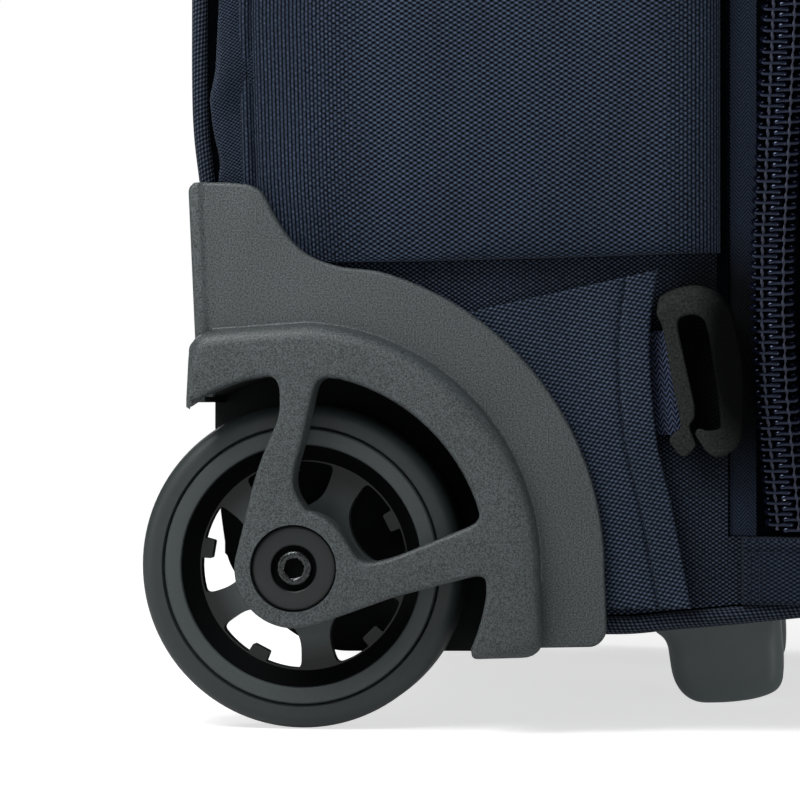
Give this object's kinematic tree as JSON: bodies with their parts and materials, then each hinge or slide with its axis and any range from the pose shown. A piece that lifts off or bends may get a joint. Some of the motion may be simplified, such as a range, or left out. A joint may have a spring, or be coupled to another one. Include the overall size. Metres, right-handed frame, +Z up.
{
  "type": "wheeled backpack",
  "caption": "Upright travel backpack on two inline wheels and two front feet, with a coil zip all round, side hooks, stowed shoulder straps and a telescoping tow handle.",
  "frame": {"origin": "on the floor, below the middle of the bag's bounding box", "axes": "+Z up; the lid and feet face -Y; the straps and wheels face +Y; the wheel axles lie along X"},
  "size_m": [0.35, 0.2298, 0.55],
  "materials": {
    "navy_cloth": "coarse basket weave, matt",
    "mesh_cloth": "open hexagonal weave, matt",
    "dark_cloth": "fine herringbone and twill, matt",
    "webbing": "ribbed webbing, matt",
    "zip_coil": "smooth nylon coil, slight sheen",
    "grey_plastic": "fine moulded grain",
    "wheel_plastic": "fine moulded grain",
    "tyre": "smooth hard rubber",
    "black_plastic": "fine texture, soft sheen",
    "dark_metal": "dark satin",
    "tube_metal": "brushed satin"
  },
  "bodies": {
    "root": {"tub": "navy_cloth", "front_lid": "navy_cloth", "top_handle": "navy_cloth", "wing_flap_left": "navy_cloth", "wing_flap_right": "navy_cloth", "side_panel_left": "mesh_cloth", "side_panel_right": "mesh_cloth", "back_pad": "mesh_cloth", "shoulder_strap_left": "mesh_cloth", "shoulder_strap_right": "mesh_cloth", "zip_tape_rear": "dark_cloth", "zip_tape_front": "dark_cloth", "zip_end_patch_left": "dark_cloth", "zip_end_patch_right": "dark_cloth", "back_piping": "dark_cloth", "bottom_piping": "dark_cloth", "hook_webbing_left": "webbing", "hook_webbing_right": "webbing", "strap_webbing_left": "webbing", "strap_webbing_right": "webbing", "zip_chain": "zip_coil", "wheel_housing_left": "grey_plastic", "wheel_housing_right": "grey_plastic", "foot_left": "grey_plastic", "foot_right": "grey_plastic", "tow_bezel": "grey_plastic", "gear_hook_left": "black_plastic", "gear_hook_right": "black_plastic", "zip_pull_left": "black_plastic", "zip_pull_right": "black_plastic", "strap_buckle_left": "black_plastic", "strap_buckle_right": "black_plastic", "axle_bolt_left": "dark_metal", "axle_bolt_right": "dark_metal", "zip_slider_left": "dark_metal", "zip_slider_right": "dark_metal", "tow_tube_outer_left": "tube_metal", "tow_tube_outer_right": "tube_metal"},
    "wheel_left": {"tyre_left": "tyre", "rim_left": "wheel_plastic"},
    "wheel_right": {"tyre_right": "tyre", "rim_right": "wheel_plastic"},
    "tow_middle": {"tow_tube_middle_left": "tube_metal", "tow_tube_middle_right": "tube_metal"},
    "tow_top": {"tow_tube_inner_left": "tube_metal", "tow_tube_inner_right": "tube_metal", "tow_grip": "black_plastic"},
    "tow_press": {"tow_button": "grey_plastic"}
  },
  "joints": [
    {"name": "wheel_left_spin", "type": "hinge", "parent": "root", "child": "wheel_left", "pos_m": [-0.15, 0.0725, 0.0425], "axis": [1, 0, 0], "continuous": true},
    {"name": "wheel_right_spin", "type": "hinge", "parent": "root", "child": "wheel_right", "pos_m": [0.15, 0.0725, 0.0425], "axis": [1, 0, 0], "continuous": true},
    {"name": "tow_lower_stage", "type": "slide", "parent": "root", "child": "tow_middle", "axis": [0, 0, 1], "range_m": [0, 0.2]},
    {"name": "tow_upper_stage", "type": "slide", "parent": "tow_middle", "child": "tow_top", "axis": [0, 0, 1], "range_m": [0, 0.2]},
    {"name": "tow_button_press", "type": "slide", "parent": "tow_top", "child": "tow_press", "axis": [0, 0, -1], "range_m": [0, 0.0011], "stiffness_N_per_m": 400}
  ]
}
